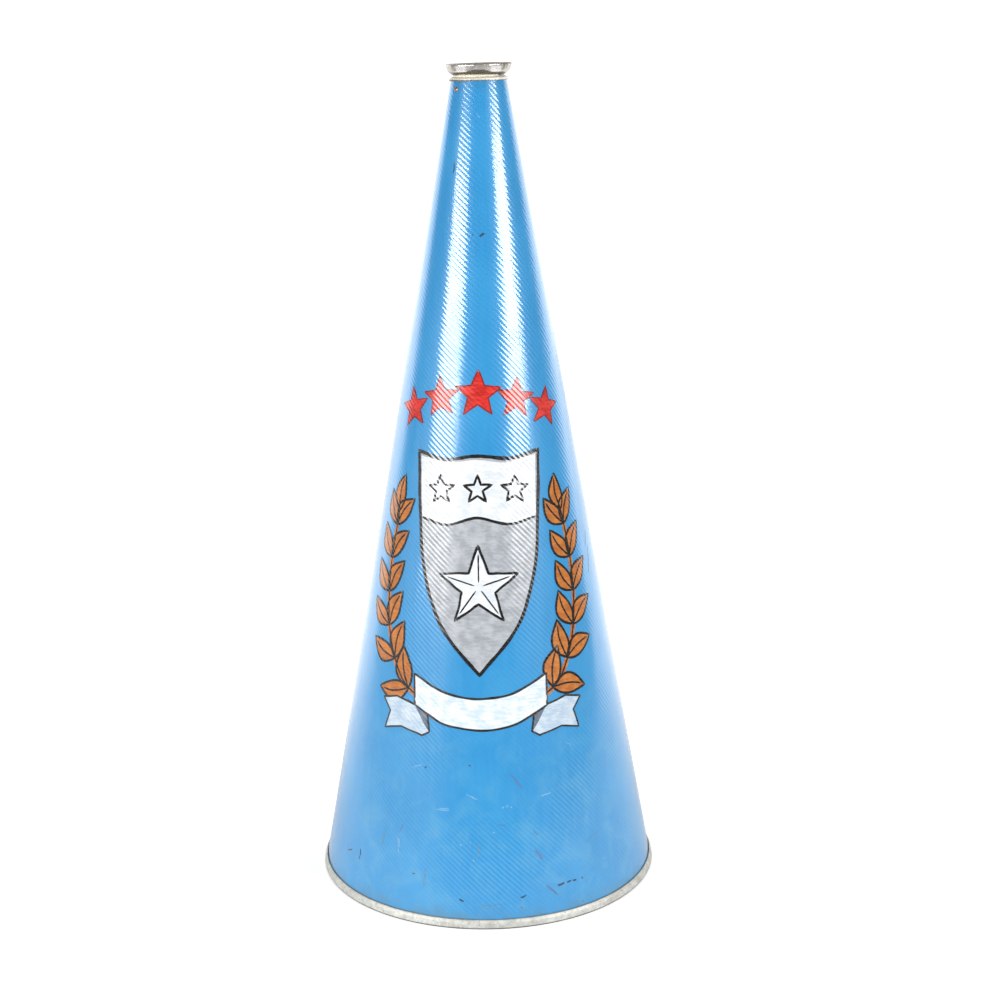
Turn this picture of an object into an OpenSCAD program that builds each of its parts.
// Acoustic cheering megaphone: a rolled fibre cone with a lapped, riveted seam,
// a plated two-piece mouthpiece at its small end and a folded metal binding round its bell.
// Units are millimetres. The cone's axis is Z, the bell stands on z = 0, and the
// decorated front faces -Y, so the seam runs up the back, on the +Y side.

/* [Overall] */
// Height from the foot of the bell rim to the top of the mouthpiece lip
overall_h = 610; // [590:1:640]

/* [Fibre cone] */
// Outer radius of the cone's slope, carried down to the ground
bell_r = 127.8; // [124:0.1:132]
// Outer radius of the cone at its small end
tip_r = 20.3; // [20:0.1:20.6]
// Thickness of the fibre sheet
fibre_t = 1.6; // [1.4:0.1:1.8]
// Width of the seam's overlapping flap
lap_w = 16; // [14:1:18]

/* [Seam rivets] */
// Height of the lowest seam rivet
rivet_first_z = 34; // [28:1:45]
// Height of the highest seam rivet
rivet_last_z = 559; // [540:1:565]
// Radius of a rivet's shank
shank_r = 1.4; // [1.2:0.1:1.6]
// Radius of a rivet's domed head
head_r = 3; // [2.6:0.1:3.4]
// Height of a rivet's domed head
head_h = 1.1; // [0.9:0.1:1.3]
// Radius of the washer under each clinched end
burr_r = 3.2; // [3:0.1:3.6]
// Thickness of that washer
burr_t = 0.7; // [0.5:0.1:0.9]

/* [Bell rim] */
// Height of the folded binding round the bell
rim_h = 7; // [6.5:0.1:7.5]
// How far the binding stands out from the fibre, on each side
rim_bulge = 1.8; // [1.6:0.1:2]
// Thickness of the binding's sheet
rim_t = 0.5; // [0.4:0.05:0.55]
// Gap left where the binding's two ends meet
butt_gap = 0.4; // [0.3:0.1:0.8]

/* [Mouthpiece] */
// Outer radius of the rolled lip
lip_r = 23.6; // [23:0.1:24]
// Radius of the lip's bead in section
bead_r = 1.3; // [1.2:0.05:1.4]
// Outer radius of the narrow waist between the collar and the lip
waist_r = 18.2; // [17.8:0.1:18.6]
// Height of the part below the lip, from the collar's foot to the lip's top
mouthpiece_h = 11.6; // [11.2:0.1:12.4]
// How far the inner sleeve reaches down inside the cone, below the collar
sleeve_reach = 12.6; // [11:0.1:16]
// Thickness of the mouthpiece's sheet
plate_t = 0.5; // [0.4:0.05:0.5]
// Height of the two sleeve rivets, measured down from the collar's foot
sleeve_rivet_drop = 6.2; // [5.4:0.1:6.6]
// Radius of a sleeve rivet's head
sleeve_head_r = 1.9; // [1.6:0.1:2.1]
// Direction of the first sleeve rivet, round the axis from +X
sleeve_rivet_angle = -138; // [-150:1:-120]

/* [Hidden] */
$fn = 96;

seam_rivet_count = 8;
fit = 0.05;                      // clearance between pieces that are pressed together
cone_z0 = rim_t;                 // the fibre stands on the binding's web
cone_z1 = overall_h - 10.4;      // and ends under the mouthpiece's shoulder
slope = (bell_r - tip_r) / cone_z1;
half_angle = atan(slope);
wall = fibre_t / cos(half_angle);  // the sheet's thickness measured level
collar_z = overall_h - mouthpiece_h;
flap_z0 = rim_h + 0.6;           // the flap is trimmed clear of the rim and of the collar
flap_z1 = collar_z - 1.2;
bead_c = [lip_r - bead_r, overall_h - bead_r];
waist_drop = 8.8;                // from the lip's top down to the waist
waist_z = overall_h - waist_drop;
shoulder_z = cone_z1 + 0.35;    // where the shoulder leaves the collar, clear of the fibre's edge
throat_z = cone_z1 - 1;
sleeve_rivet_z = collar_z - sleeve_rivet_drop;
sleeve_shank_r = shank_r / 2;
sleeve_head_h = head_h / 2;
clinch_h = 0.8;                  // height of a seam rivet's flared inner end
sleeve_clinch_h = 0.5;           // and of a sleeve rivet's
hole_depth = 6 * fibre_t;        // a drill that long clears both layers of the seam

fibre_colour = "#3f93d2";
zinc_colour = "#b9b8b2";
solder_colour = "#9a9a9c";
nickel_colour = "#d9d6cf";
copper_colour = "#b07a55";
steel_colour = "#8f8d88";

// Outer radius of the cone's base layer at a height
function cone_r(z) = bell_r - slope * z;

// Height of one of the seam's rivets, counted from the bell
function rivet_z(i) = rivet_first_z + (rivet_last_z - rivet_first_z) * (i - 1) / (seam_rivet_count - 1);

// Radius of the cone's hollow, measured square to the wall
function inner_r(z) = (cone_r(z) - wall) / cos(half_angle);

// How far a flat disc of radius r stands off a hollow of that radius
function seat(r, hollow) = pow(r, 2) / (2 * hollow) + 0.02;
function burr_seat(z) = seat(burr_r, inner_r(z));

// Thickness that a sleeve rivet clamps
sleeve_grip = fibre_t + fit + plate_t + seat(1.6 * sleeve_shank_r, inner_r(sleeve_rivet_z) - plate_t);

// Points along an arc, from angle a to angle b
function arc(c, r, a, b, steps) = [for (i = [0:steps]) c + r * [cos(a + (b - a) * i / steps), sin(a + (b - a) * i / steps)]];

// Direction square to a path at one of its points, to the left of its travel
function square_to(path, i) =
    let (d = path[min(i + 1, len(path) - 1)] - path[max(i - 1, 0)])
    [-d.y, d.x] / norm(d);

// Outline of a sheet of thickness t that lies to the left of a path
function sheet(path, t) = concat(path, [for (i = [len(path) - 1:-1:0]) path[i] + t * square_to(path, i)]);

// ---- fibre cone ----

// Solid of revolution between the two faces of a layer of the wall
module cone_layer(inner, outer, z0, z1)
    rotate_extrude()
        polygon([
            [cone_r(z0) + inner, z0], [cone_r(z0) + outer, z0],
            [cone_r(z1) + outer, z1], [cone_r(z1) + inner, z1]
        ]);

// Second layer of sheet where the seam laps
module flap()
    intersection() {
        cone_layer(-wall / 2, wall, flap_z0, flap_z1);
        translate([-lap_w / 2, 0, 0])
            cube([lap_w, 2 * bell_r, overall_h]);
    }

// Puts children on the seam at a height, with +Z square to the wall and z = 0 on the base layer's outer face
module on_seam(z)
    translate([0, cone_r(z), z])
        rotate([half_angle - 90, 0, 0])
            children();

// The same at any direction round the cone
module on_wall(angle, z)
    rotate([0, 0, angle - 90])
        on_seam(z)
            children();

module sleeve_rivet_holes()
    for (turn = [0, 180])
        on_wall(sleeve_rivet_angle + turn, sleeve_rivet_z)
            translate([0, 0, -hole_depth / 2])
                cylinder(r = sleeve_shank_r + fit, h = hole_depth, $fn = 32);

module fibre_cone()
    color(fibre_colour)
        difference() {
            union() {
                cone_layer(-wall, 0, cone_z0, cone_z1);
                flap();
            }
            for (i = [1:seam_rivet_count])
                on_seam(rivet_z(i))
                    translate([0, 0, -hole_depth / 2])
                        cylinder(r = shank_r + fit, h = hole_depth, $fn = 32);
            sleeve_rivet_holes();
        }

// ---- rivets ----

// Domed rivet: the head's flat side is at z = 0 and the shank runs down to its clinched end
module rivet(head, rise, shank, grip, clinch) {
    ball = (pow(head, 2) + pow(rise, 2)) / (2 * rise);
    intersection() {
        translate([0, 0, rise - ball])
            sphere(r = ball, $fn = 64);
        cylinder(r = head, h = rise, $fn = 48);
    }
    difference() {
        union() {
            translate([0, 0, -grip - clinch])
                cylinder(r = shank, h = grip + clinch + rise / 2, $fn = 32);
            translate([0, 0, -grip - clinch])
                cylinder(r1 = 1.2 * shank, r2 = 1.6 * shank, h = clinch, $fn = 32);
        }
        translate([0, 0, -grip - 2 * clinch])
            cylinder(r = 0.6 * shank, h = 2.5 * clinch, $fn = 32);
    }
}

// Copper rivets down the seam, through both layers and a washer
module seam_rivets()
    color(copper_colour)
        for (i = [1:seam_rivet_count])
            on_seam(rivet_z(i))
                translate([0, 0, fibre_t])
                    rivet(head_r, head_h, shank_r, 2 * fibre_t + burr_seat(rivet_z(i)) + burr_t, clinch_h);

// Washers that the seam rivets are clinched over, inside the cone
module seam_burrs()
    color(steel_colour)
        for (i = [1:seam_rivet_count])
            on_seam(rivet_z(i))
                translate([0, 0, -fibre_t - burr_seat(rivet_z(i)) - burr_t])
                    difference() {
                        cylinder(r = burr_r, h = burr_t, $fn = 48);
                        translate([0, 0, -burr_t])
                            cylinder(r = shank_r + fit, h = 3 * burr_t, $fn = 32);
                    }

// Small rivets that hold the mouthpiece's sleeve, on opposite sides of the cone
module sleeve_rivets()
    color(copper_colour)
        for (turn = [0, 180])
            on_wall(sleeve_rivet_angle + turn, sleeve_rivet_z)
                rivet(sleeve_head_r, sleeve_head_h, sleeve_shank_r, sleeve_grip, sleeve_clinch_h);

// ---- bell rim ----

rim_half = wall / 2 + rim_bulge;
rim_corner = 1.4;                // radius of the bend at the binding's foot
rim_cheek = 4;                   // radius of its rounded cheek
cheek_drop = 2.9;                // from its lip down to where the cheek is widest
rim_steps = 8;

// Path up one side of the binding, in distance from the wall's middle and height
function rim_side(grow) = concat(
    arc([rim_half - rim_corner, rim_corner], rim_corner + grow, -90, 0, rim_steps),
    arc([rim_half - rim_cheek, rim_h - cheek_drop], rim_cheek + grow, 0, asin(cheek_drop / rim_cheek), rim_steps)
);

// Leans that path to follow the cone's wall
function lean(path) = [for (p = path) [cone_r(p.y) - wall / 2 + p.x, p.y]];

module rim_ring(side, t) {
    mirrored = [for (i = [len(side) - 1:-1:0]) [-side[i].x, side[i].y]];
    rotate_extrude()
        polygon(sheet(lean(concat(mirrored, side)), t));
}

module bell_rim()
    color(zinc_colour)
        difference() {
            rim_ring(rim_side(0), rim_t);
            translate([-butt_gap / 2, 0, -1])
                cube([butt_gap, 2 * bell_r, rim_h + 2]);
        }

// Solder run over the binding's outer face where its ends meet
module rim_solder() {
    run_w = 7;
    run_t = 0.35;
    face = rim_side(run_t);
    first = rim_steps - 1;       // from just above the binding's foot
    last = len(face) - 3;        // to just below its lip
    color(solder_colour)
        intersection() {
            rotate_extrude()
                polygon(sheet(lean([for (i = [first:last]) face[i]]), run_t - 0.01));
            translate([-run_w / 2, 0, 0])
                cube([run_w, 2 * bell_r, rim_h]);
        }
}

// ---- mouthpiece ----

// The cup's side is two slopes: a low one out of the waist's crease and a steep one up to the lip's bead
crease_r = 0.8;
corner_r = 2.5;                  // between the two slopes
low_slope = 36;                  // both measured from level
steep_slope = 70;
crease_c = [waist_r + crease_r, waist_z];
low_out = [cos(low_slope - 90), sin(low_slope - 90)];         // square to each slope, outwards
steep_out = [cos(steep_slope - 90), sin(steep_slope - 90)];
steep_up = [cos(steep_slope), sin(steep_slope)];
steep_length = ((bead_c - crease_c) * low_out - (corner_r - bead_r) * (steep_out * low_out)
    + corner_r + crease_r) / (steep_up * low_out);
corner_c = bead_c - (corner_r - bead_r) * steep_out - steep_length * steep_up;
bead_curl = 240;                 // the bead is rolled in to here
bead_hold = 10;                  // and the sleeve's end follows this much of it

// The cup's side from the waist up, or a line inside it
function cup_side(inset) = concat(
    arc(crease_c, crease_r + inset, 180, 90 + low_slope, 6),
    arc(corner_c, corner_r - inset, low_slope - 90, steep_slope - 90, 6));

// Outer cup: collar over the fibre, sloping shoulder, waist, cup and rolled lip
module mouthpiece_cup() {
    collar = [for (z = [collar_z, shoulder_z]) [cone_r(z) + fit + plate_t, z]];
    bead = arc(bead_c, bead_r, steep_slope - 90, bead_curl, 28);
    color(nickel_colour)
        rotate_extrude()
            polygon(sheet(concat(collar, cup_side(0), bead), plate_t));
}

// Inner sleeve: lines the small end of the cone and is trapped under the rolled lip
module mouthpiece_sleeve() {
    foot_z = collar_z - sleeve_reach;
    liner = [for (z = [foot_z, throat_z]) [cone_r(z) - wall - fit, z]];
    inset = plate_t + fit;
    held = arc(bead_c, bead_r - inset, steep_slope - 90, steep_slope - 90 + bead_hold, 3);
    color(nickel_colour)
        difference() {
            rotate_extrude()
                polygon(sheet(concat(liner, cup_side(inset), held), plate_t));
            sleeve_rivet_holes();
        }
}

// ---- assembly ----

fibre_cone();
bell_rim();
rim_solder();
mouthpiece_cup();
mouthpiece_sleeve();
sleeve_rivets();
seam_rivets();
seam_burrs();
